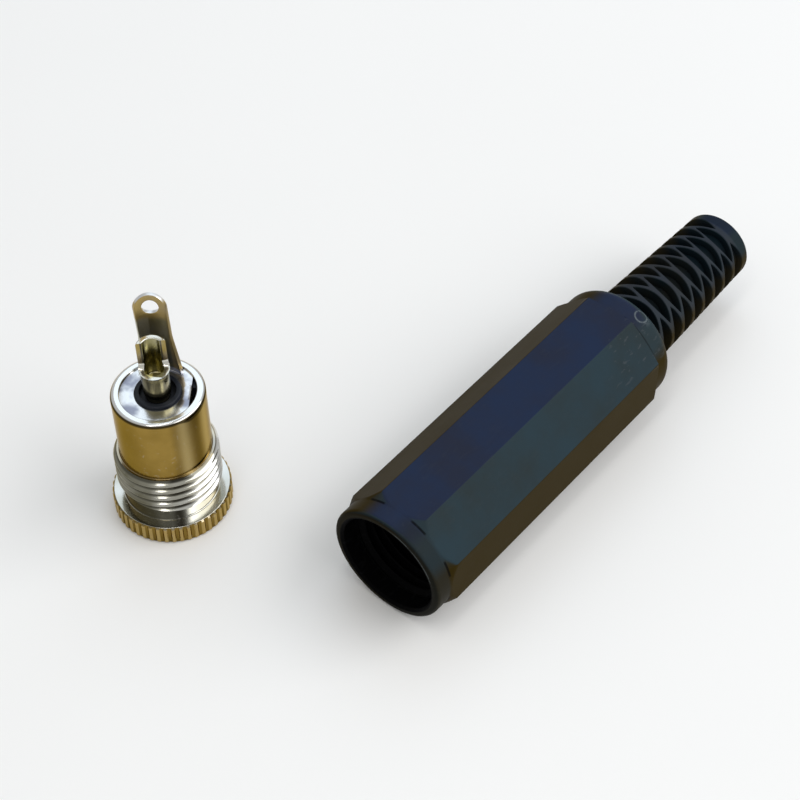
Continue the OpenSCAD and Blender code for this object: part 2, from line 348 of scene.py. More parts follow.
def shape_by(mesh, material, steps):
    """A plain mesh made of another by trees, each with the values of its named inputs."""
    blank = add_object(mesh.name, mesh)
    for tree, values in steps:
        modifier = blank.modifiers.new(tree.name, "NODES")
        modifier.node_group = tree
        inputs = {i.name: i.identifier for i in tree.interface.items_tree if i.in_out == "INPUT"}
        modifier[inputs["Material"]] = material
        for name, value in values.items():
            modifier[inputs[name]] = float(value)
    depsgraph = bpy.context.evaluated_depsgraph_get()
    shaped = bpy.data.meshes.new_from_object(blank.evaluated_get(depsgraph))
    blank.modifiers.clear()
    bpy.data.objects.remove(blank)
    return shaped


join_distance = 0.0002 * mm
shaping_marks = ["angle", "threaded", "turn", "cell", "side", "reach", "stand", "rib", "depth"]


def put_in_place(name, mesh, place, material, node):
    """Joins a mesh's doubles, moves it to its place and has it stand for the CAD node."""
    build = bmesh.new()
    build.from_mesh(mesh)
    bmesh.ops.remove_doubles(build, verts=build.verts, dist=join_distance)
    bmesh.ops.dissolve_degenerate(build, edges=build.edges, dist=join_distance / 2)
    build.transform(place)
    build.to_mesh(mesh)
    build.free()
    mesh.name = name
    for attribute in [a.name for a in mesh.attributes if a.name in shaping_marks]:
        mesh.attributes.remove(mesh.attributes[attribute])
    mesh.materials.clear()
    mesh.materials.append(material)
    mesh.shade_smooth()
    mesh.set_sharp_from_angle(angle=math.radians(40))
    piece = add_object(name, mesh)
    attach(piece, "root")
    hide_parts(node)


def new_material(name):
    """A material with one Principled shader, and that shader."""
    material = bpy.data.materials.new(name)
    material.use_nodes = True
    return material, material.node_tree.nodes["Principled BSDF"]


def feed(shader, **wires):
    """Links wires to the shader's sockets; bump is a height in metres."""
    tree = shader.id_data
    for name, wire in wires.items():
        if name == "bump":
            sockets = {"Height": wire, "Distance": 1.0}
            wire = wire.node("ShaderNodeBump", {}, sockets)
            name = "normal"
        socket = shader.inputs[name.replace("_", " ").title()]
        tree.links.new(wire.socket, socket)


def core_coordinates(tree):
    """Object coordinates round the core's axis, and their distance from it."""
    where = Wire(tree).node("ShaderNodeTexCoord", {}, {}, "Object")
    sockets = {"Vector": where, "Location": -core_axis}
    where = where.node("ShaderNodeMapping", {}, sockets)
    x, y, z = split(where)
    square = x * x + y * y
    return where, x, y, z, square.math("SQRT", square)


def facing(tree):
    """The parts of the surface's own direction, in object coordinates."""
    return split(Wire(tree).node("ShaderNodeTexCoord", {}, {}, "Normal"))


def plated_brass():
    """Nickel over brass: silvery on the thread, gold on the barrel and flange edge as brass tone
    with a painted reflection of a warm table, and painted highlights and shade.
    """
    nickel = (0.74, 0.74, 0.71)
    nickel_dull = (0.48, 0.47, 0.40)
    nickel_highlight = (0.88, 0.89, 0.90)
    olive = (0.20, 0.19, 0.13)
    root_shade_grey = (0.085, 0.082, 0.062)
    gold = (0.40, 0.265, 0.068)
    gold_highlight = (0.47, 0.36, 0.16)
    gold_deep = (0.22, 0.14, 0.028)
    band_reflection_brown = (0.10, 0.062, 0.018)
    flute_shade_brown = (0.11, 0.072, 0.014)
    crease_shade = (0.016, 0.013, 0.008)
    cloud_scale, wear_scale, lathe_scale = 260, 2600, 9000
    band_turn, bands = math.radians(15), 10
    fade = 0.1 * mm

    material, shader = new_material("plated_brass")
    where, x, y, z, radius = core_coordinates(shader.id_data)
    up = facing(shader.id_data)[2]
    cloud = where.noise(where, cloud_scale, 3)
    fine = where.noise(where, wear_scale, 3, 0.6)
    turn = y.math("ARCTAN2", y, x)
    upright = up.rise(0.97, 0.9)
    band = (turn + band_turn) * bands
    band = 0.5 + 0.5 * band.math("COSINE", band)
    reflection_band_side = turn.rise(-0.62, -0.36)

    # silvery: painted shade to the left and in the thread's roots, painted highlight to the right
    # and on the lip
    shaded_left_side = turn.rise(-0.95, -1.2) * up.rise(0.95, 0.85)
    lit_right_side = turn.rise(-0.1, 0.3)
    front_root_shade = turn.band(-0.80, -0.65, -0.4, -0.2)
    on_neck = z.rise(thread_start + fade, thread_start)
    lip_highlight = z.rise(lip_z - fade, lip_z - fade / 2)
    # painted shade in the thread's roots, darkest at the front
    roots = radius.rise(thread_r - 0.14 * mm, thread_r - 0.30 * mm)
    roots = roots * z.rise(thread_end + fade, thread_end) * upright * (1 - reflection_band_side * on_neck)
    # painted highlight: the thread bright nickel on its right side, and the lip bright all round
    bright = lit_right_side * (1 - roots) * (0.4 + 0.4 * cloud.rise(0.3, 0.6))
    bright = (bright * z.rise(thread_start - mm, thread_start)).high(lip_highlight * 0.8)
    silver = cloud.rise(0.3, 0.75).blend(nickel_dull, nickel)
    # painted shade: the thread dull olive on its left side
    silver = (shaded_left_side * (0.4 + 0.6 * cloud.rise(0.3, 0.6))).blend(silver, olive)
    silver = (roots * 0.85).blend(silver, root_shade_grey)
    silver = (roots * front_root_shade * 0.75).blend(silver, crease_shade)
    silver = bright.blend(silver, nickel_highlight)

    # gold: the brass tone with a painted reflection of a warm table, painted reflection bands on
    # one side, painted shade on the far side, and a painted shadow line under the lip
    # painted shadow: a dark line under the lip, sagging on one side
    sag = turn.band(-0.35, -0.05, 0.25, 0.6) * 0.3 * mm
    lip_shadow = (z + sag).rise(lip_z - 0.34 * mm, lip_z - 0.22 * mm)
    lip_shadow = lip_shadow * z.rise(lip_z - 0.03 * mm, lip_z - fade)
    gold_with_reflection = cloud.rise(0.25, 0.8).blend(gold_deep, gold)
    # painted shade: the far side of the barrel deeper gold
    gold_with_reflection = (turn.rise(-1.0, -1.7) * 0.75).blend(gold_with_reflection, gold_deep)
    # painted reflection: pale and brown upright bands on one side of the barrel
    gold_with_reflection = (band * reflection_band_side * 0.8).blend(gold_with_reflection, gold_highlight)
    gold_with_reflection = ((1 - band) * reflection_band_side * 0.75).blend(gold_with_reflection, band_reflection_brown)
    gold_with_reflection = (lip_shadow * turn.rise(-2.7, -2.2) * 0.85).blend(gold_with_reflection, crease_shade)

    # the flange's edge: painted highlight on the lands and painted shade in the flutes, gilded in
    # patches
    fluted = radius.rise(flange_r - 0.02 * mm, flange_r - 0.09 * mm)
    knurl = fluted.blend(gold_highlight, flute_shade_brown)
    knurl = (cloud.rise(0.35, 0.65) * 0.45).blend(knurl, gold)

    on_barrel = z.rise(thread_end - fade, thread_end + fade)
    on_barrel = on_barrel * z.rise(lip_z - fade / 2, lip_z - 1.2 * fade)
    on_barrel = on_barrel * radius.rise(seat_r - fade, seat_r)
    on_edge = radius.rise(flange_r - 0.295 * mm, flange_r - 0.155 * mm) * up.rise(0.9, 0.6)
    colour = on_edge.blend(on_barrel.blend(silver, gold_with_reflection), knurl)
    wear = fine.rise(0.62, 0.75)
    lathe_lines = z.lines(lathe_scale)
    feed(
        shader,
        base_color=(wear * 0.2).blend(colour, nickel),
        roughness=0.10 + 0.10 * cloud + 0.08 * wear,
        bump=(lathe_lines * 0.001 + cloud * 0.0025 + fine * 0.00025) * mm,
    )
    shader.inputs["Metallic"].default_value = 1
    shader.inputs["Specular Tint"].default_value = (0.85, 0.72, 0.48, 1)
    return material


core_place = Matrix.Translation(core_axis)
flute_pitch = math.tau / flute_count
land = flute_land / flute_pitch
land_edge = 0.42 * land
flute_places = [0, land_edge, land / 2]
flute_places += [0.5 + (1 - land) * (k / 6 - 0.5) for k in range(1, 6)]
flute_places += [1 - land / 2, 1 - land_edge]
body_angles = [flute_pitch * (i + place) for i in range(flute_count) for place in flute_places]
body_angles.append(math.tau)
body_rows = soft_outline([
    (thread_r, thread_end),
    (barrel_r, thread_end, edge_r),
    (barrel_r, lip_z, lip_round),
    (lip_r, lip_z, edge_r),
    (lip_r, lip_z - lip_h, 0.02 * mm),
    (seat_r, lip_z - lip_h, 0.02 * mm),
    (seat_r, seat_z, 0.02 * mm),
    (chamber_r, seat_z, 0.02 * mm),
    (chamber_r, mouth_l, edge_r),
    (mouth_r, mouth_l, edge_r),
    (mouth_r, mouth_bevel, edge_r),
    (mouth_r + mouth_bevel, 0, edge_r),
    (flange_r - flange_bevel, 0, edge_r),
    (flange_r, flange_bevel, edge_r),
    (flange_r, flange_h - flange_bevel, edge_r),
    (flange_r - flange_bevel, flange_h, edge_r),
    (neck_r, flange_h, 2 * edge_r),
    (neck_r, thread_start, edge_r),
    (thread_r, thread_start),
]) + thread_rows(thread_r, thread_start, thread_end)
brass = plated_brass()
screw_thread = thread_tree()
body_mesh = shape_by(turned_mesh("socket_body", body_rows, body_angles), brass, [
    (flute_tree(), {
        "Count": flute_count,
        "Cutter radius": flute_cutter_r,
        "Cutter place": flange_r + flute_cutter_r - flute_depth,
        "Height": flange_h + edge_r,
    }),
    (screw_thread, thread_sizes(thread_start, thread_end, thread_r, thread_depth, thread_bevel)),
])
put_in_place("turned_body", body_mesh, core_place, brass, "socket_body")


# ------------------------------------------------------------------ insulator
# A black moulding pressed into the body's rear end. It holds the pin, and its
# dished boss stands up through the contact plate. A slot lets the spring arm by.

insulator_low, insulator_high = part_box("socket_insulator")
insulator_r = (insulator_high.x - insulator_low.x) / 2
boss_z = insulator_high.z - 0.2 * mm
disc_z = 11.9 * mm
boss_r = 1.72 * mm
dish_r = 1.35 * mm
dish_depth = 0.45 * mm
pin_root_r = 1.2 * mm
collar_r = 1.45 * mm
collar_z = 10.45 * mm
collar_t = 0.9 * mm
pin_neck_r = 0.9 * mm
press_gap = 0.02 * mm
arm_turn = math.radians(37.5)
arm_w = 1.4 * mm
slot_floor = 2.06 * mm
slot_w = 1.5 * mm


def ring_outline(corners):
    """Rounds every corner of a closed outline."""
    return soft_outline(corners[-1:] + corners + corners[:1])


def even_angles(count):
    return [math.tau * i / count for i in range(count + 1)]


def soften_edges(piece, edge):
    """The piece's mesh as its modifiers leave it, with its sharp edges rounded."""
    bevel = piece.modifiers.new("edges", "BEVEL")
    bevel.width = edge
    bevel.segments = 3
    bevel.angle_limit = math.radians(50)
    depsgraph = bpy.context.evaluated_depsgraph_get()
    return bpy.data.meshes.new_from_object(piece.evaluated_get(depsgraph))


def cut_away(mesh, low, high, turn, edge, run_out=0):
    """Cuts a box, turned about +Z, out of a mesh and rounds the edges that it leaves.

    The cut runs out on a radius where its back meets its floor."""
    build = bmesh.new()
    build.from_mesh(mesh)
    bmesh.ops.remove_doubles(build, verts=build.verts, dist=join_distance)
    build.to_mesh(mesh)
    build.free()
    cutter = bpy.data.meshes.new("cutter")
    build = bmesh.new()
    bmesh.ops.create_cube(build, size=1)
    low, high = Vector(low), Vector(high)
    spread = Matrix.Diagonal((*(high - low), 1))
    build.transform(Matrix.Translation((low + high) / 2) @ spread)
    if run_out:
        back = {v for v in build.verts if v.co.x < low.x + edge and v.co.z < low.z + edge}
        corner = [e for e in build.edges if back.issuperset(e.verts)]
        bmesh.ops.bevel(build, geom=corner, offset=run_out, segments=8, profile=0.5, affect="EDGES")
    build.transform(Matrix.Rotation(turn, 4, "Z"))
    build.to_mesh(cutter)
    build.free()
    pieces = [add_object(m.name, m) for m in (mesh, cutter)]
    cut = pieces[0].modifiers.new("cut", "BOOLEAN")
    cut.operation = "DIFFERENCE"
    cut.solver = "EXACT"
    cut.object = pieces[1]
    result = soften_edges(pieces[0], edge)
    for piece in pieces:
        bpy.data.objects.remove(piece)
    return result


def black_moulding():
    """Black plastic with a fine grain and a slight haze."""
    black = (0.006, 0.008, 0.013)
    hazy_black = (0.013, 0.016, 0.024)
    material, shader = new_material("insulator_black")
    where = core_coordinates(shader.id_data)[0]
    cloud = where.noise(where, 700, 3)
    grain = where.noise(where, 9000, 2)
    feed(
        shader,
        base_color=cloud.rise(0.3, 0.7).blend(black, hazy_black),
        roughness=0.34 + 0.18 * cloud,
        bump=(grain * 0.004 + cloud * 0.01) * mm,
    )
    shader.inputs["Specular IOR Level"].default_value = 0.25
    return material


insulator_rows = ring_outline([
    (pin_root_r + press_gap, seat_z, 0.02 * mm),
    (insulator_r, seat_z, edge_r),
    (insulator_r, disc_z, edge_r),
    (boss_r, disc_z, 0.02 * mm),
    (boss_r, boss_z, 0.1 * mm),
    (dish_r, boss_z, edge_r),
    (dish_r, boss_z - dish_depth, edge_r),
    (pin_neck_r + press_gap, boss_z - dish_depth, 0.02 * mm),
    (pin_neck_r + press_gap, collar_z + collar_t, 0.02 * mm),
    (collar_r + press_gap, collar_z + collar_t, 0.02 * mm),
    (collar_r + press_gap, collar_z, 0.02 * mm),
    (pin_root_r + press_gap, collar_z, 0.02 * mm),
])
insulator_mesh = cut_away(
    turned_mesh("socket_insulator", insulator_rows, even_angles(144)),
    (slot_floor, -slot_w / 2, seat_z - mm),
    (slot_floor + 4 * mm, slot_w / 2, disc_z + mm / 4),
    arm_turn,
    0.03 * mm,
)
plastic = black_moulding()
put_in_place(
    "insulator_disc", insulator_mesh, core_place, plastic, "socket_insulator"
)


# ----------------------------------------------------------------- centre pin
# A turned and plated pin, moulded into the insulator by its collar. Its round tip
# points down into the socket, and its rear end is a solder cup cut open on one side.

pin_low, pin_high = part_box("centre_pin")
pin_tip_z = pin_low.z
cup_top_z = pin_high.z
pin_r = 1.0 * mm
pin_tip_round = 0.8 * mm
cup_r = 1.13 * mm
cup_bore_r = 0.72 * mm
cup_z = 14.7 * mm
cup_floor_z = 13.6 * mm
cup_cone_h = 0.2 * mm
cup_open_from = -0.35 * mm
cup_turn = math.radians(-39)
cup_neck_r = 1.03 * mm
cup_run_out = 0.45 * mm


def pin_metal():
    """Bright plating with a painted reflection from brown to gold-brown up the cup, painted shade
    on the cut edges, a painted highlight on upward faces, and an olive bore.
    """
    pale = (0.78, 0.77, 0.70)
    olive = (0.28, 0.25, 0.14)
    gold_brown = (0.34, 0.25, 0.06)
    brown = (0.10, 0.065, 0.02)
    edge_shade_brown = (0.03, 0.022, 0.008)
    bore_olive = (0.30, 0.27, 0.10)
    cloud_scale, wear_scale, lathe_scale = 500, 4000, 12000
    fade = 0.03 * mm

    material, shader = new_material("pin_metal")
    where, _, _, z, radius = core_coordinates(shader.id_data)
    up = facing(shader.id_data)[2]
    cloud = where.noise(where, cloud_scale, 3)
    fine = where.noise(where, wear_scale, 3, 0.6)
    in_bore = radius.rise(cup_bore_r + fade, cup_bore_r + fade / 3)
    in_bore = in_bore * z.rise(cup_floor_z, cup_floor_z + 0.1 * mm)
    # painted shade along the cut edges beside the bore
    cut_edge_shade = (radius - cup_bore_r).band(0, fade, 0.10 * mm, 0.16 * mm)
    cut_edge_shade = cut_edge_shade * z.rise(cup_z, cup_z + 0.1 * mm)
    # painted highlight on the upward faces above the cup's floor
    shelf_highlight = up.rise(0.04, 0.3) * z.rise(cup_floor_z + 0.2 * mm, cup_floor_z + 0.3 * mm)
    # painted reflection: brown low on the cup, turning gold-brown towards its top
    colour = z.rise(cup_z + cup_run_out, cup_top_z - 0.6 * mm).blend(brown, gold_brown)
    colour = z.rise(cup_z - 0.2 * mm, cup_z).blend(olive, colour)
    colour = cut_edge_shade.blend(colour, edge_shade_brown)
    colour = in_bore.blend(colour, bore_olive)
    colour = (cloud.rise(0.4, 0.8) * 0.2).blend(colour, pale)
    colour = shelf_highlight.blend(colour, pale)
    lathe_lines = z.lines(lathe_scale)
    feed(
        shader,
        base_color=colour,
        roughness=0.12 + 0.14 * cloud,
        bump=(lathe_lines * 0.0012 + cloud * 0.003 + fine * 0.0003) * mm,
    )
    shader.inputs["Metallic"].default_value = 1
    return material


pin_rows = soft_outline([
    (0, pin_tip_z - mm),
    (0, pin_tip_z, 0),
    (pin_r, pin_tip_z, pin_tip_round),
    (pin_r, seat_z, 0.02 * mm),
    (pin_root_r, seat_z, edge_r),
    (pin_root_r, collar_z, 0.02 * mm),
    (collar_r, collar_z, edge_r),
    (collar_r, collar_z + collar_t, edge_r),
    (pin_neck_r, collar_z + collar_t, 0.02 * mm),
    (pin_neck_r, boss_z, 0.02 * mm),
    (cup_neck_r, boss_z + 0.05 * mm, 0.02 * mm),
    (cup_neck_r, cup_z - cup_cone_h, edge_r),
    (cup_r, cup_z, edge_r),
    (cup_r, cup_top_z, 0.12 * mm),
    (cup_bore_r, cup_top_z, 0.06 * mm),
    (cup_bore_r, cup_floor_z, 0.1 * mm),
    (0, cup_floor_z, 0),
    (0, cup_floor_z - mm),
])
pin_mesh = cut_away(
    turned_mesh("centre_pin", pin_rows, even_angles(128)),
    (cup_open_from, -2 * cup_r, cup_z),
    (4 * cup_r, 2 * cup_r, cup_top_z + mm),
    cup_turn,
    0.04 * mm,
    cup_run_out,
)
put_in_place("solder_cup_pin", pin_mesh, core_place, pin_metal(), "centre_pin")


# ------------------------------------------------------------ sleeve terminal
# One stamping of plated sheet: a washer that the lip holds down on the insulator,
# a spring arm folded down into the socket, and a tall solder tab folded up.

sheet_t = 0.3 * mm
sheet_z = lip_z - lip_h - sheet_t / 2
washer_r = insulator_r
washer_hole_r = boss_r + press_gap
fold_r = 0.2 * mm
arm_edge = 2.41 * mm
arm_fold_in = arm_edge - 0.26 * mm
arm_parts = 8
arm_out = 2.823 * mm
arm_bump = 2.575 * mm
arm_knee_z = 9.65 * mm
arm_bend_z = 5.8 * mm
arm_bump_z = 4.4 * mm
arm_end_z = arm_bump_z - 1.6 * mm
tab_turn = math.radians(127.5)
tab_r = 2.45 * mm
tab_half = 1.18 * mm
tab_root_half = 1.6 * mm
tab_root_h = 3.4 * mm
tab_hole_up = 6.5 * mm
tab_hole_r = 0.65 * mm
tab_lean = math.radians(1.5)
tab_parts = 16
strip_parts = 12
rim_parts = 64
chord_parts = 6
pull_parts = 4
tab_in = tab_r - fold_r
root_turn = math.asin(tab_root_half / tab_in)
notch_turn = math.asin(tab_root_half / washer_r)
chord_turn = math.acos(arm_edge / washer_r)
chord_half = washer_r * math.sin(chord_turn)


def nickel_sheet():
    """Nickel plate: clouded on the washer, with painted reflections of olive and gold up the tab
    and a painted highlight on its upward faces.
    """
    bright = (0.78, 0.79, 0.80)
    dull = (0.27, 0.28, 0.34)
    dark_olive = (0.20, 0.18, 0.10)
    grey_olive = (0.44, 0.42, 0.31)
    gold = (0.42, 0.31, 0.12)
    cloud_scale, wear_scale = 420, 3600
    olive_from = (-0.5 * mm, -0.35 * mm)
    gold_from = (0.85 * mm, 1.05 * mm)
    gold_above = (17.3 * mm, 17.9 * mm)

    material, shader = new_material("nickel_sheet")
    where, x, y, z, _ = core_coordinates(shader.id_data)
    up = facing(shader.id_data)[2]
    cloud = where.noise(where, cloud_scale, 3)
    fine = where.noise(where, wear_scale, 3, 0.6)
    on_tab = z.rise(lip_z, lip_z + 0.4 * mm)
    side = x * math.sin(tab_turn) - y * math.cos(tab_turn)
    # painted reflections across the tab: grey olive on one side, dark olive from the middle, gold
    # at the other edge and near the top
    tab = side.rise(*olive_from).blend(grey_olive, dark_olive)
    tab = side.rise(*gold_from).blend(tab, gold)
    tab = z.rise(*gold_above).blend(tab, gold)
    tab = (cloud.rise(0.4, 0.75) * 0.3).blend(tab, dull)
    # painted highlight on the tab's upward faces
    tab = up.rise(0.4, 0.75).blend(tab, bright)
    plate = cloud.rise(0.40, 0.60).blend(dull, bright)
    feed(
        shader,
        base_color=on_tab.blend(plate, tab),
        roughness=0.10 + 0.14 * cloud + 0.22 * on_tab,
        bump=(cloud * 0.025 + fine * 0.0005) * mm,
    )
    shader.inputs["Metallic"].default_value = 1
    return material


def arc_points(centre, radius, start, end, count):
    """Points along an arc, with angles in degrees."""
    angles = [math.radians(start + (end - start) * i / count) for i in range(count + 1)]
    return [centre + radius * Vector((math.cos(a), math.sin(a))) for a in angles]


def tab_point(side, up):
    """A point of the tab's middle surface: flat outline to leaning gutter."""
    across = side * math.cos(tab_lean) + up * math.sin(tab_lean)
    height = up * math.cos(tab_lean) - side * math.sin(tab_lean)
    outward = math.sqrt(tab_r**2 - across**2)
    return Vector((outward, across, lip_z - lip_h + height))


def on_plate(turn, x, y=0):
    """A point of the flat plate, measured along a bearing and across it."""
    point = Matrix.Rotation(turn, 3, "Z") @ Vector((x, y, 0))
    return Vector((point.x, point.y, sheet_z))


def rim_spoke(turn, pull):
    """A spoke to the round rim, whose outer end is pulled towards the notch beside the tab."""
    outer_turn = turn + pull * (root_turn - notch_turn)
    return on_plate(turn, tab_in), on_plate(outer_turn, washer_r)


def chord_spoke(side, share):
    """A spoke to the straight edge beside the arm, from its far end, 0, to the arm, 1."""
    across = side * (chord_half + (arm_w / 2 - chord_half) * share)
    turn = math.atan2(across, arm_edge)
    radius = tab_in + (arm_fold_in / math.cos(turn) - tab_in) * share
    inner = on_plate(arm_turn, radius * math.cos(turn), radius * math.sin(turn))
    return inner, on_plate(arm_turn, arm_edge, across)


def plate_spokes():
    """Spokes all round the plate from the tab's root, and the place of the arm's first one.

    Each is a point on the folds and one on the rim, which a spoke into a fold has none of."""
    spokes = []
    for i in range(tab_parts + 1):
        side = tab_root_half * (2 * i / tab_parts - 1)
        spokes.append((on_plate(tab_turn, math.sqrt(tab_in**2 - side**2), side), None))
    spokes[0] = (spokes[0][0], on_plate(tab_turn - notch_turn, washer_r))
    start, end = tab_turn + root_turn, arm_turn - chord_turn + math.tau
    for i in range(rim_parts + 1):
        pull = -max(0, 1 - i / pull_parts)
        spokes.append(rim_spoke(start + (end - start) * i / rim_parts, pull))
    spokes += [chord_spoke(-1, i / chord_parts) for i in range(1, chord_parts)]
    arm_first = len(spokes)
    for i in range(arm_parts + 1):
        across = arm_w * (i / arm_parts - 0.5)
        rim = on_plate(arm_turn, arm_edge, across) if i in (0, arm_parts) else None
        spokes.append((on_plate(arm_turn, arm_fold_in, across), rim))
    spokes += [chord_spoke(1, 1 - i / chord_parts) for i in range(1, chord_parts)]
    start, end = arm_turn + chord_turn, tab_turn - root_turn
    for i in range(pull_parts):
        spokes.append(rim_spoke(start + (end - start) * i / pull_parts, i / pull_parts))
    return spokes, arm_first


def join_rows(build, first, second, closed=False):
    """A strip of faces between two rows of points."""
    for i in range(len(first) if closed else len(first) - 1):
        k = (i + 1) % len(first)
        build.faces.new((first[i], first[k], second[k], second[i]))


def fold_up_tab(build, root):
    """The tab: folded up from its root, tapering, then rings of faces round its hole."""
    tab_at = Matrix.Rotation(tab_turn, 3, "Z")
    spread = [2 * i / tab_parts - 1 for i in range(tab_parts + 1)]
    rows = [root]
    for point in arc_points(Vector((tab_in, sheet_z + fold_r)), fold_r, -90, 0, 5)[1:]:
        row = []
        for side in [tab_root_half * share for share in spread]:
            out = math.sqrt(point.x**2 - side**2)
            row.append(build.verts.new(tab_at @ Vector((out, side, point.y))))
        rows.append(row)
    strip_top = tab_hole_up - tab_half
    for k in range(1, strip_parts + 1):
        up = strip_top * k / strip_parts
        half = tab_half + (tab_root_half - tab_half) * max(0, 1 - up / tab_root_h)
        rows.append([build.verts.new(tab_at @ tab_point(half * share, up)) for share in spread])
    for low_row, high_row in zip(rows, rows[1:]):
        join_rows(build, low_row, high_row)

    turns = [math.atan2(-1, share) for share in spread[:-1]]
    arch_parts = 3 * tab_parts
    turns += [-math.pi / 4 + 1.5 * math.pi * i / arch_parts for i in range(arch_parts)]
    rings = []
    for share in (1, 0.6, 0.25, 0):
        ring = []
        for i, turn in enumerate(turns):
            if share == 1 and i <= tab_parts:
                ring.append(rows[-1][i])
                continue
            x, y = math.cos(turn), math.sin(turn)
            reach = tab_half / (1 if y >= 0 else max(abs(x), abs(y)))
            radius = tab_hole_r + (reach - tab_hole_r) * share
            point = tab_point(radius * x, tab_hole_up + radius * y)
            ring.append(build.verts.new(tab_at @ point))
        rings.append(ring)
    for outer_ring, inner_ring in zip(rings, rings[1:]):
        join_rows(build, outer_ring, inner_ring, closed=True)


def fold_down_arm(build, root):
    """The arm: folded down, sloping out to the chamber's wall, then in to its bump."""
    arm_at = Matrix.Rotation(arm_turn, 3, "Z")
    path = arc_points(Vector((arm_fold_in, sheet_z - fold_r)), fold_r, 90, 13, 4)[1:]
    path += [Vector(p) for p in (
        (arm_out, arm_knee_z),
        (arm_out, (arm_knee_z + arm_bend_z) / 2),
        (arm_out, arm_bend_z),
        ((arm_out + arm_bump) / 2, (arm_bend_z + arm_bump_z) / 2),
        (arm_bump, arm_bump_z),
        (arm_out - 0.1 * mm, arm_end_z),
    )]
    row = root
    for point in path:
        next_row = []
        for i in range(arm_parts + 1):
            across = arm_w * (i / arm_parts - 0.5)
            next_row.append(build.verts.new(arm_at @ Vector((point.x, across, point.y))))
        join_rows(build, row, next_row)
        row = next_row


def stamped_sheet():
    """The stamping's middle surface, folded, before it gets its thickness."""
    build = bmesh.new()
    spokes, arm_first = plate_spokes()
    hole = []
    for point, _ in spokes:
        on_hole = point.xy.normalized() * washer_hole_r
        hole.append(build.verts.new((on_hole.x, on_hole.y, sheet_z)))
    middle = [build.verts.new(point) for point, _ in spokes]
    rim = [build.verts.new(point) if point else None for _, point in spokes]
    join_rows(build, hole, middle, closed=True)
    for i in range(len(spokes)):
        k = (i + 1) % len(spokes)
        if rim[i] and rim[k]:
            build.faces.new((middle[i], middle[k], rim[k], rim[i]))
    fold_up_tab(build, middle[: tab_parts + 1])
    fold_down_arm(build, middle[arm_first : arm_first + arm_parts + 1])
    bmesh.ops.remove_doubles(build, verts=build.verts, dist=0.001 * mm)
    bmesh.ops.recalc_face_normals(build, faces=build.faces)
    mesh = bpy.data.meshes.new("sleeve_terminal")
    build.to_mesh(mesh)
    build.free()
    return mesh


def give_thickness(mesh, thickness, edge):
    """Sheet metal: an even thickness about the middle surface, and softened edges."""
    sheet = add_object(mesh.name, mesh)
    solid = sheet.modifiers.new("thickness", "SOLIDIFY")
    solid.thickness = thickness
    solid.offset = 0
    solid.use_even_offset = True
    result = soften_edges(sheet, edge)
    bpy.data.objects.remove(sheet)
    return result


terminal_mesh = give_thickness(stamped_sheet(), sheet_t, edge_r)
nickel = nickel_sheet()
put_in_place(
    "contact_stamping", terminal_mesh, core_place, nickel, "sleeve_terminal"
)


# -------------------------------------------------------------------- backshell
# One black moulding that screws over the core: a grip with eight flats between two
# round collars, a domed shoulder, and a strain relief whose staggered pockets let
# it bend with the cable. It is gated on the shoulder, where the plastic is stressed.

shell_low, shell_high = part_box("backshell")
shell_middle = (shell_low + shell_high) / 2
shell_axis = Vector((shell_middle.x, shell_low.y, shell_middle.z))
shell_l = shell_high.y - shell_low.y
flats_r = (shell_high.x - shell_low.x) / 2
collar_drop = 0.02 * mm
shell_collar_r = flats_r - collar_drop
front_collar_l = 1.45 * mm
flats_end = 27.05 * mm
rear_collar_end = 28.05 * mm
dome_r = 1.25 * mm
tail_z = rear_collar_end + dome_r
rim_round = 0.35 * mm
counterbore_r = 4.1 * mm
counterbore_l = 1.5 * mm
rim_bevel = 0.2 * mm
shell_thread_r = 3.6 * mm
shell_thread_end = 6.5 * mm
cavity_end_r = 3.3 * mm
cavity_end = 26 * mm
cable_r = 2.2 * mm
funnel_end = 27.6 * mm
tail_root_r = 3.4 * mm
tail_end_r = 2.94 * mm
taper = (tail_root_r - tail_end_r) / (shell_l - tail_z)
end_ring_l = 1.3 * mm
end_round = 0.3 * mm
flat_edge_r = 0.15 * mm
pocket_pitch = 1.52 * mm
pocket_half_l = 2.1 * mm
pocket_half_w = 0.55 * mm
pocket_floor_r = 2.42 * mm
pocket_start = 1.47 * mm
pocket_tip_half_w = 0.04 * mm
pocket_fade = 0.14 * mm
pocket_rows = 16
column_turn = math.radians(82.5)
column_count = 6
flat_count = 8
corner_turn = math.tau / flat_count
grip_parts = 20
dome_parts = 16
gate_turn = math.radians(25)
gate_r = 0.58 * mm
gate_out = 4.58 * mm
gate_z = 28.25 * mm
gate_place = Vector((gate_out * math.sin(gate_turn), gate_z, gate_out * math.cos(gate_turn)))


def octagon(angle, stand):
    """Radius of the grip, whose rounded corners stand this far past its collars at most."""
    half = corner_turn / 2
    off = abs(angle % corner_turn - half)
    centre = (flats_r - flat_edge_r) / math.cos(half)
    round_end = math.atan2(flat_edge_r * math.sin(half), centre + flat_edge_r * math.cos(half))
    if off < round_end:
        aside = centre * math.sin(off)
        reach = centre * math.cos(off) + math.sqrt(flat_edge_r**2 - aside**2)
    else:
        reach = flats_r / math.cos(half - off)
    return max(min(reach, shell_collar_r + stand), shell_collar_r)


def grip_row(height, stand=mm):
    """A row of the grip, with its corners whole unless they stand less."""
    return (lambda angle: octagon(angle, stand), height, {})


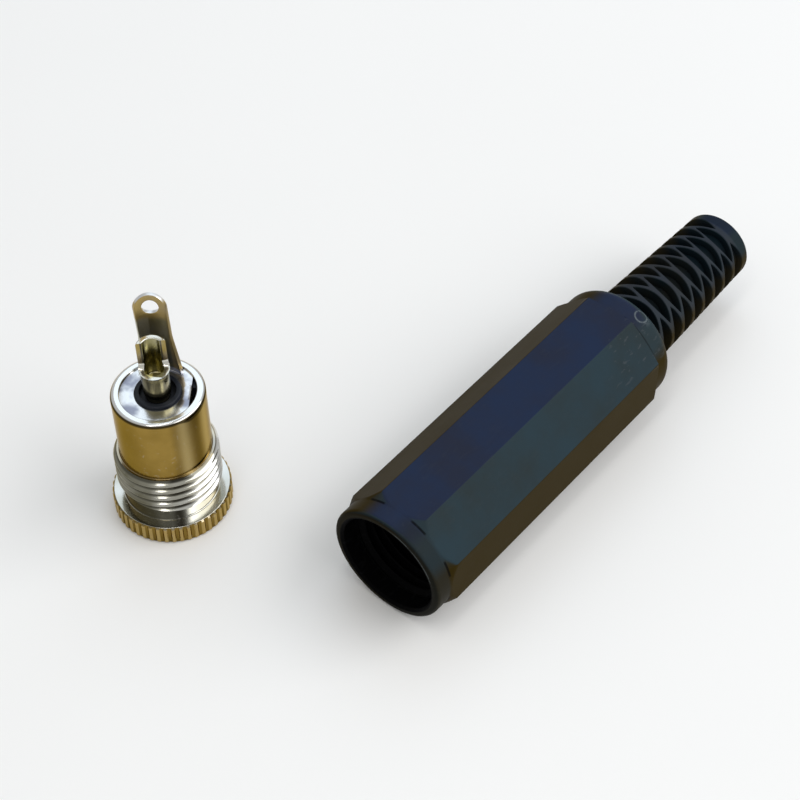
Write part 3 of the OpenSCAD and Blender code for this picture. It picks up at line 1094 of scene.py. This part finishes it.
def relief_rows():
    """Rows of the strain relief: seven for each ring of pockets, and one on the rib after it."""
    beside = {"reach": 1, "stand": 0.05 * mm, "depth": 0}
    edge = {"reach": 1, "stand": 0, "depth": 0.12}
    wall = {"reach": 0.86, "stand": 0, "depth": 1}
    floor_middle = {"reach": 0, "stand": 0, "depth": 1}
    one_side = [(-1, beside), (-1, edge), (-1, wall)]
    other_side = [(1, wall), (1, edge), (1, beside)]
    profile = [*one_side, (0, floor_middle), *other_side]
    rows = []
    for cell in range(pocket_rows):
        middle = tail_z + pocket_start + (cell - 1) * pocket_pitch / 2
        for side, marks in profile:
            rows.append((tail_root_r, middle, {"cell": cell + 1, "side": side, **marks}))
        if cell < pocket_rows - 1:
            rows.append((tail_root_r, middle + pocket_pitch / 4, {"cell": cell + 1, "rib": 1}))
    return rows


def pocket_tree():
    """Presses the pockets: each row follows the edge of its lens-shaped outline."""
    sizes = ["Start", "Pitch", "Half length", "Half width", "Tip half width", "Fade"]
    sizes += ["Floor radius", "Columns", "First column", "Root height", "Root radius", "Taper"]
    given = new_tree("relief_pockets", sizes)
    angle = mark_of(given, "angle")
    cell = mark_of(given, "cell")
    half_l, half_w = given["Half length"], given["Half width"]
    arc = (half_l * half_l + half_w * half_w) / (2 * half_w)
    nominal = given["Start"] + (cell - 2) * given["Pitch"] / 2
    around = given["Root radius"] - given["Taper"] * (nominal - given["Root height"])
    between = 2 * math.tau / given["Columns"]

    def opening(cell):
        """Half the width that a pocket has at this angle, 0 beyond its tips."""
        odd = cell.math("MODULO", cell, 2)
        share = (angle - given["First column"] - odd * between / 2) / between + 0.5
        off = (share.math("FRACT", share + 4) - 0.5) * between
        across = around * off.math("SINE", off)
        square = (arc * arc - across * across).high(0)
        return (square.math("SQRT", square) - arc + half_w).high(0)

    here, after = opening(cell), opening(cell + 1)
    wide = here.high(given["Tip half width"])
    along = mark_of(given, "side") * (mark_of(given, "reach") * wide + mark_of(given, "stand"))
    rib = mark_of(given, "rib")
    along = along + rib * (given["Pitch"] / 2 + wide - after.high(given["Tip half width"])) / 2
    height = nominal + along
    plain = given["Root radius"] - given["Taper"] * (height - given["Root height"])
    share = (here / given["Fade"]).low(1)
    deep = mark_of(given, "depth") * share * share * (3 - 2 * share)
    radius = plain - deep * (plain - given["Floor radius"])
    chosen = cell.math("GREATER_THAN", cell, 0.5)
    end_tree(given, move_points(given, given["Geometry"], radius, height, chosen))
    return given.tree


def shell_plastic():
    """Black plastic with painted reflections, bluish above and brownish on the side faces, painted
    shade and highlights, and dust, scuffs and a gate mark.
    """
    navy_sky_reflection = (0.0175, 0.028, 0.062)
    slate_reflection = (0.025, 0.043, 0.055)
    brown_table_reflection = (0.030, 0.020, 0.003)
    collar_grey = (0.016, 0.019, 0.019)
    face_shade = (0.006, 0.007, 0.006)
    painted_inside_shade = (0.002, 0.002, 0.0022)
    rim_highlight_grey = (0.13, 0.15, 0.155)
    rib_highlight = (0.031, 0.038, 0.048)
    end_grey = (0.010, 0.016, 0.020)
    pocket_shade = (0.004, 0.009, 0.013)
    scuffed = (0.075, 0.085, 0.095)
    stressed = (0.14, 0.165, 0.18)
    cloud_scale, speck_scale, grain_scale = 180, 1500, 5200
    scratch_scales = (3000, 900, 3000)
    scuffs_from, scuffs_full = 21 * mm, 24 * mm
    ring_w = 0.10 * mm
    fade = 0.1 * mm

    material, shader = new_material("shell_plastic")
    where = Wire(shader.id_data).node("ShaderNodeTexCoord", {}, {}, "Object")
    where = where.node("ShaderNodeMapping", {}, {"Vector": where, "Location": -shell_axis})
    x, along, z = split(where)
    right, back, up = facing(shader.id_data)
    turn = x.math("ARCTAN2", x, z)
    square = x * x + z * z
    radius = square.math("SQRT", square)
    cloud = where.noise(where, cloud_scale, 4, 0.6)
    grain = where.noise(where, grain_scale, 3, 0.6)
    speck = where.noise(where, speck_scale, 4, 0.7)
    stretched = where.node("ShaderNodeMapping", {}, {"Vector": where, "Scale": scratch_scales})
    scratch = where.noise(stretched, 1, 3, 0.55)

    # the places that differ: strain relief with painted shade in its pockets and a painted
    # highlight on its ribs, side faces with a painted reflection, a painted reflection on one side
    # of the front collar, painted shade on the mouth's face and inside, and a painted highlight on
    # the rim
    on_tail = along.rise(tail_z, tail_z + fade)
    depth = tail_root_r - (along - tail_z) * taper - radius
    sunken = depth.rise(0.03 * mm, fade) * on_tail
    on_end = along.rise(shell_l - end_ring_l, shell_l - end_ring_l + 3 * fade)
    on_ribs = depth.rise(0.05 * mm, 0.02 * mm) * on_tail * (1 - on_end)
    # painted reflection of a brown table on the side faces
    side_reflection = up.rise(0.6, 0.3).high(right.rise(-0.2, -0.55)) * (1 - on_tail)
    side_reflection = side_reflection.high(turn.rise(-0.45, -0.9).high(turn.rise(1.1, 1.5)) * on_tail)
    on_collar = along.rise(front_collar_l + 2 * fade, front_collar_l - 2 * fade)
    shaded_face = back.rise(-0.4, -0.85) * along.rise(mm, 0.5 * mm)
    # painted highlight along the rim's inner edge, broken up by specks
    rim_highlight = abs(radius - counterbore_r - 0.34 * mm).rise(0.05 * mm, 0.02 * mm)
    rim_highlight = rim_highlight * turn.band(0.0, 0.3, 1.1, 1.35)
    rim_highlight = rim_highlight * along.rise(0.3 * mm, 0.2 * mm) * speck.rise(0.35, 0.55)
    # painted shade inside the mouth and bore
    inside = radius.rise(counterbore_r + 0.28 * mm, counterbore_r + 0.2 * mm)
    inside = inside * along.rise(tail_z, flats_end)

    # painted shade where the grip's corners rise from the collars
    corner = (turn * flat_count).math("COSINE", turn * flat_count).rise(-0.25, -0.6)
    front_step_shade = (along - front_collar_l).band(-0.06 * mm, 0, 0.08 * mm, 0.16 * mm)
    rear_step_shade = (along - flats_end).band(-0.04 * mm, 0.02 * mm, 0.08 * mm, 0.18 * mm)
    open_flat = turn.band(0.25, 0.35, 1.1, 1.25)
    corner_step_shade = (corner * front_step_shade).high(rear_step_shade * (corner + 0.6 * open_flat).low(1))

    # wear: scuffs near the gate, dust, and plastic paled by stress round the gate's ring
    near_gate = along.rise(scuffs_from, scuffs_full) * turn.band(0.2, 0.5, 1.0, 1.3)
    scuffs = scratch.rise(0.58, 0.64) * cloud.rise(0.42, 0.55)
    scuffs = scuffs * (0.08 + 0.92 * near_gate) * along.rise(tail_z, tail_z - 2 * fade)
    dust = speck.rise(0.68, 0.76)
    sockets = {0: where, 1: gate_place}
    gap = where.node("ShaderNodeVectorMath", {"operation": "DISTANCE"}, sockets, "Value")
    ring = gap.band(gate_r - ring_w, gate_r, gate_r, gate_r + ring_w)
    stress = gap.rise(gate_r * 1.9, gate_r) * turn.rise(gate_turn + 0.05, gate_turn + 0.15)
    stress = (stress * speck.rise(0.5, 0.6) * 0.4).high(ring * speck.rise(0.38, 0.56))

    # painted reflection: navy of the sky lamp on upward faces, slate on the rest
    colour = up.rise(0.80, 0.94).blend(slate_reflection, navy_sky_reflection)
    colour = (on_end * 0.6).blend(colour, end_grey)
    # painted highlight on the rib tops
    colour = (on_ribs * 0.9).blend(colour, rib_highlight)
    # painted shade in the pockets
    colour = sunken.blend(colour, pocket_shade)
    colour = (side_reflection * (1 - 0.6 * sunken)).blend(colour, brown_table_reflection)
    # random brownish patches in the same brown
    colour = (cloud.rise(0.35, 0.75) * 0.3).blend(colour, brown_table_reflection)
    # painted reflection: the front collar greyer on one side
    colour = (on_collar * turn.rise(0, 0.4) * 0.6).blend(colour, collar_grey)
    # painted shade on the faces that look forward, round the mouth
    colour = (shaded_face * 0.7).blend(colour, face_shade)
    colour = (rim_highlight * 0.6).blend(colour, rim_highlight_grey)
    colour = inside.blend(colour, painted_inside_shade)
    colour = (corner_step_shade * 0.8).blend(colour, painted_inside_shade)
    colour = (scuffs * 0.38 + dust * 0.10).blend(colour, scuffed)
    colour = (stress * 0.8).blend(colour, stressed)
    feed(
        shader,
        base_color=colour,
        roughness=0.34 + 0.14 * cloud + 0.2 * scuffs + 0.1 * dust + 0.2 * stress,
        bump=(grain * 0.004 + cloud * 0.02 - scuffs * 0.006 + ring * 0.02) * mm,
    )
    shader.inputs["Specular IOR Level"].default_value = 0.015
    return material


lay_down = Matrix(((0, 1, 0), (0, 0, 1), (1, 0, 0))).to_4x4()
shell_place = Matrix.Translation(shell_axis) @ lay_down
corner_steps = [math.radians(d) for d in (-0.67, -0.45, -0.22, 0.22, 0.45, 0.67)]
corners = [corner_turn * (i + 0.5) for i in range(flat_count)]
shell_angles = even_angles(240) + [corner + step for corner in corners for step in corner_steps]
shell_angles.sort()
inside_front = soft_outline([
    (shell_thread_r, counterbore_l),
    (counterbore_r, counterbore_l, 0.03 * mm),
    (counterbore_r, rim_bevel, edge_r),
    (counterbore_r + rim_bevel, 0, edge_r),
    (shell_collar_r, 0, rim_round),
    (shell_collar_r, front_collar_l),
])
corner_stand = flats_r / math.cos(corner_turn / 2) - shell_collar_r
corner_steps_up = [corner_stand * k / 6 for k in range(7)]
front_slope, rear_slope = 1.8, 0.25
grip_l = flats_end - front_collar_l
grip_rows = [(shell_collar_r, front_collar_l - 0.03 * mm, {})]
grip_rows += [grip_row(front_collar_l + front_slope * step, step) for step in corner_steps_up]
grip_rows += [grip_row(front_collar_l + grip_l * i / grip_parts) for i in range(1, grip_parts)]
grip_rows += [grip_row(flats_end - rear_slope * step, step) for step in corner_steps_up[::-1]]
grip_rows += [(shell_collar_r, flats_end + 0.03 * mm, {})]
rear_collar_rows = [(shell_collar_r, flats_end + 0.125 * mm * i, {}) for i in range(1, 8)]
dome_rows = []
for i in range(dome_parts + 1):
    rise = math.pi / 2 * i / dome_parts
    radius = shell_collar_r - dome_r + dome_r * math.cos(rise)
    dome_rows.append((radius, rear_collar_end + dome_r * math.sin(rise), {}))
tail_root_rows = soft_outline([
    (shell_collar_r - dome_r, tail_z),
    (tail_root_r, tail_z, edge_r),
    (tail_root_r - taper * mm, tail_z + mm),
])
tail_end_rows = soft_outline([
    (tail_end_r + taper * mm, shell_l - mm),
    (tail_end_r, shell_l, end_round),
    (cable_r, shell_l, 0.1 * mm),
    (cable_r, funnel_end, 0.1 * mm),
    (cavity_end_r, cavity_end, 0.1 * mm),
    (shell_thread_r, shell_thread_end, edge_r),
    (shell_thread_r + 0.001 * mm, shell_thread_end - mm),
])
inner_thread = thread_rows(shell_thread_r, counterbore_l, shell_thread_end)[::-1]
shell_rows = inside_front + grip_rows + rear_collar_rows + dome_rows
shell_rows += tail_root_rows + relief_rows() + tail_end_rows + inner_thread
plastic = shell_plastic()
shell_mesh = shape_by(turned_mesh("backshell", shell_rows, shell_angles), plastic, [
    (screw_thread, thread_sizes(counterbore_l, shell_thread_end, shell_thread_r, -thread_depth, 0)),
    (pocket_tree(), {
        "Start": tail_z + pocket_start,
        "Pitch": pocket_pitch,
        "Half length": pocket_half_l,
        "Half width": pocket_half_w,
        "Tip half width": pocket_tip_half_w,
        "Fade": pocket_fade,
        "Floor radius": pocket_floor_r,
        "Columns": column_count,
        "First column": column_turn,
        "Root height": tail_z,
        "Root radius": tail_root_r,
        "Taper": taper,
    }),
])
put_in_place("cable_shell", shell_mesh, shell_place, plastic, "backshell")


# ----------------------------------------------------- floor, lamps and camera
# A plain white table under soft lamps: a wide window to the right, a cool sky light
# behind, and a narrow lamp high in front that draws a thin line down the metal.

middle = (cad_box[0] + cad_box[1]) / 2


def lamp(name, turn, tilt, distance, width, height, brightness, colour):
    """A soft lamp at a bearing and height in degrees, aimed at the part."""
    light = bpy.data.lights.new(name, "AREA")
    light.shape = "RECTANGLE"
    light.size = width
    light.size_y = height
    light.energy = brightness * math.pi * width * height
    light.color = colour
    out = Vector((
        math.cos(math.radians(turn)) * math.cos(math.radians(tilt)),
        math.sin(math.radians(turn)) * math.cos(math.radians(tilt)),
        math.sin(math.radians(tilt)),
    ))
    holder = add_object(name, light)
    holder.location = middle + out * distance
    holder.rotation_euler = out.to_track_quat("Z", "Y").to_euler()


lamp("window", 30, 42, 0.45, 0.50, 0.34, 2.4, (1.0, 1.0, 1.0))
lamp("sky", 125, 52, 0.45, 0.34, 0.34, 0.85, (0.72, 0.86, 1.0))
lamp("front_lamp", -83, 75, 0.45, 0.06, 0.30, 4.0, (1.0, 0.98, 0.94))

world = bpy.data.worlds.new("studio")
world.use_nodes = True
world.node_tree.nodes["Background"].inputs["Color"].default_value = (0.52, 0.52, 0.51, 1)
bpy.context.scene.world = world

floor_material, floor_shader = new_material("white_table")
floor_where = Wire(floor_shader.id_data).node("ShaderNodeTexCoord", {}, {}, "Object")
floor_cloud = floor_where.noise(floor_where, 12, 3)
feed(
    floor_shader,
    base_color=floor_cloud.rise(0.3, 0.7).blend((0.90, 0.90, 0.90), (0.92, 0.92, 0.92)),
    roughness=0.55 + 0.1 * floor_cloud,
)
floor_shader.inputs["Specular IOR Level"].default_value = 0.2
floor_mesh = bpy.data.meshes.new("floor")
floor_half = 2.0
floor_corners = [(-floor_half, -floor_half, 0), (floor_half, -floor_half, 0)]
floor_corners += [(floor_half, floor_half, 0), (-floor_half, floor_half, 0)]
floor_mesh.from_pydata(floor_corners, [], [(0, 1, 2, 3)])
floor_mesh.materials.append(floor_material)
add_object("floor", floor_mesh)

camera_place = Vector((0.0636025, -0.0793715, 0.1163696))
camera_lens = 86.2302
camera_bearing = math.radians(-40.482)
camera_tilt = math.radians(-48.756)
camera_roll = math.radians(-0.8353)
look = Vector((
    math.sin(camera_bearing) * math.cos(camera_tilt),
    math.cos(camera_bearing) * math.cos(camera_tilt),
    math.sin(camera_tilt),
))
level = Vector((math.cos(camera_bearing), -math.sin(camera_bearing), 0))
upward = level.cross(look)
right = math.cos(camera_roll) * level + math.sin(camera_roll) * upward
up = math.cos(camera_roll) * upward - math.sin(camera_roll) * level
camera = add_object("camera", bpy.data.cameras.new("camera"))
camera.data.sensor_width = 36
camera.data.lens = camera_lens
camera.data.clip_start = 0.01
camera_turn = Matrix((right, up, -look)).transposed().to_4x4()
camera.matrix_world = Matrix.Translation(camera_place) @ camera_turn
bpy.context.scene.camera = camera

bpy.context.scene.view_settings.view_transform = "Standard"
